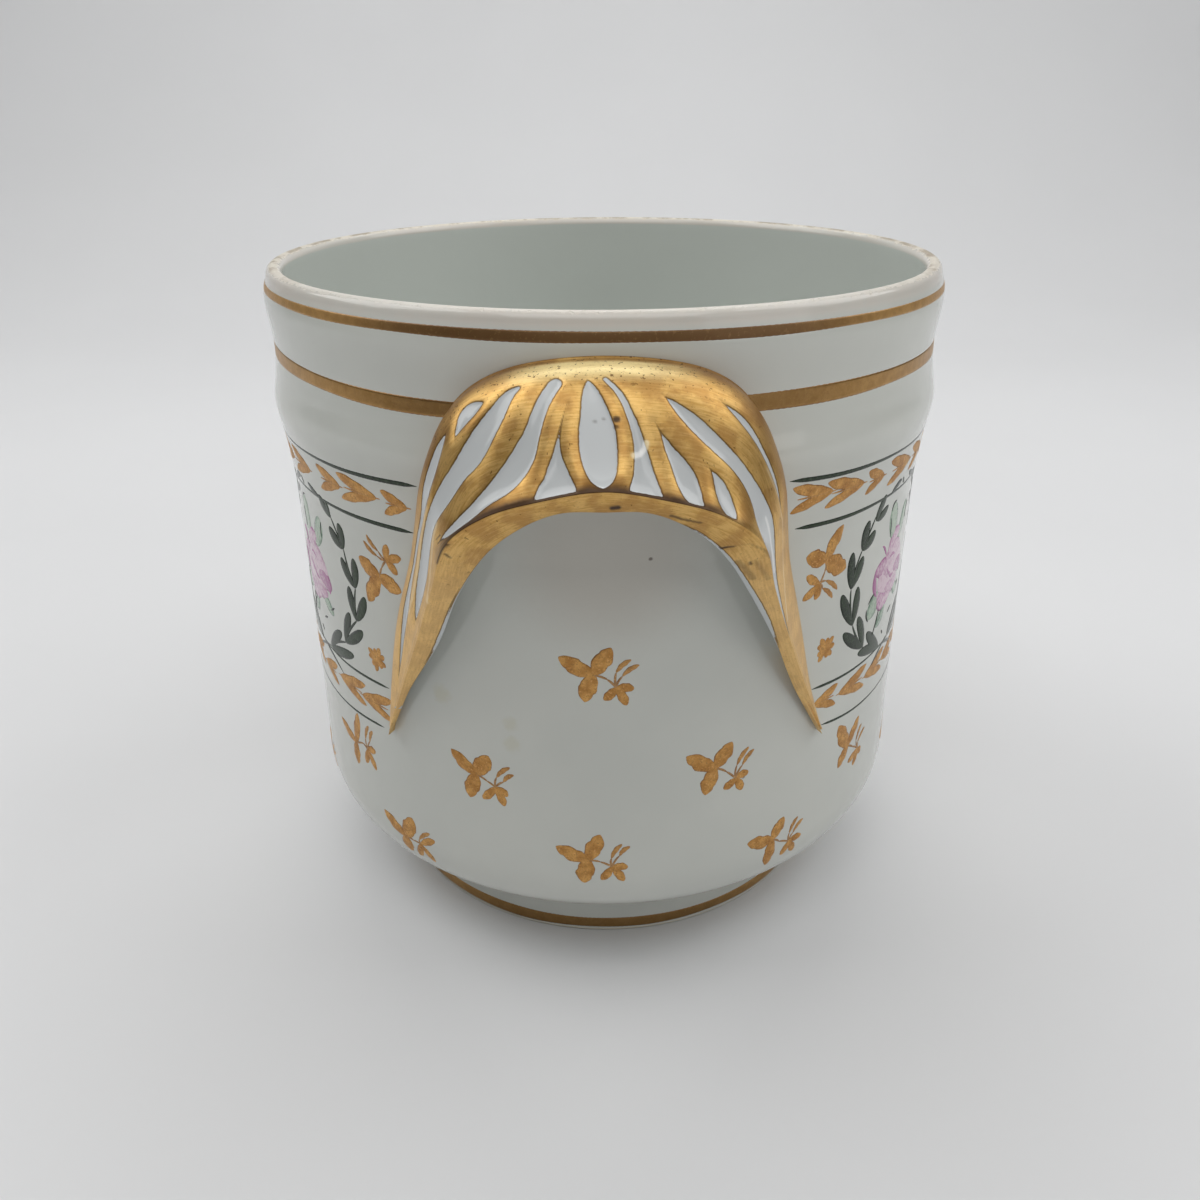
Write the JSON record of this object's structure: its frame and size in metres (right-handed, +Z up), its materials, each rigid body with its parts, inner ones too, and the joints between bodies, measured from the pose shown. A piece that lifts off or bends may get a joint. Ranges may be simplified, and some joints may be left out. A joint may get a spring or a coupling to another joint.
{
  "type": "cache pot",
  "caption": "Round porcelain cache pot with straight walls, an ogee collar, a foot ring and two moulded gilt lug handles.",
  "frame": {"origin": "on the pot's axis, at the table, under the foot ring", "axes": "+Z up along the pot's axis, +Y through the rear handle, +X to the right seen from the front handle"},
  "size_m": [0.1622, 0.202, 0.161],
  "materials": {
    "glazed_porcelain": "cool white porcelain under a clear gloss glaze",
    "gilt_porcelain": "metallic burnished gold film fired over glazed porcelain, with the glaze bare in the leaf hollows",
    "gold_enamel": "hand-laid gold lines and sprigs, fired over the glaze, satin",
    "green_enamel": "dark green overglaze enamel, thin and glossy",
    "rose_enamel": "pink overglaze enamel shaded from pale to deep, glossy",
    "leaf_enamel": "light green overglaze enamel, thin and glossy"
  },
  "bodies": {
    "root": {"pot_body": "glazed_porcelain", "foot_ring": "glazed_porcelain", "front_handle": "gilt_porcelain", "rear_handle": "gilt_porcelain"}
  },
  "joints": []
}
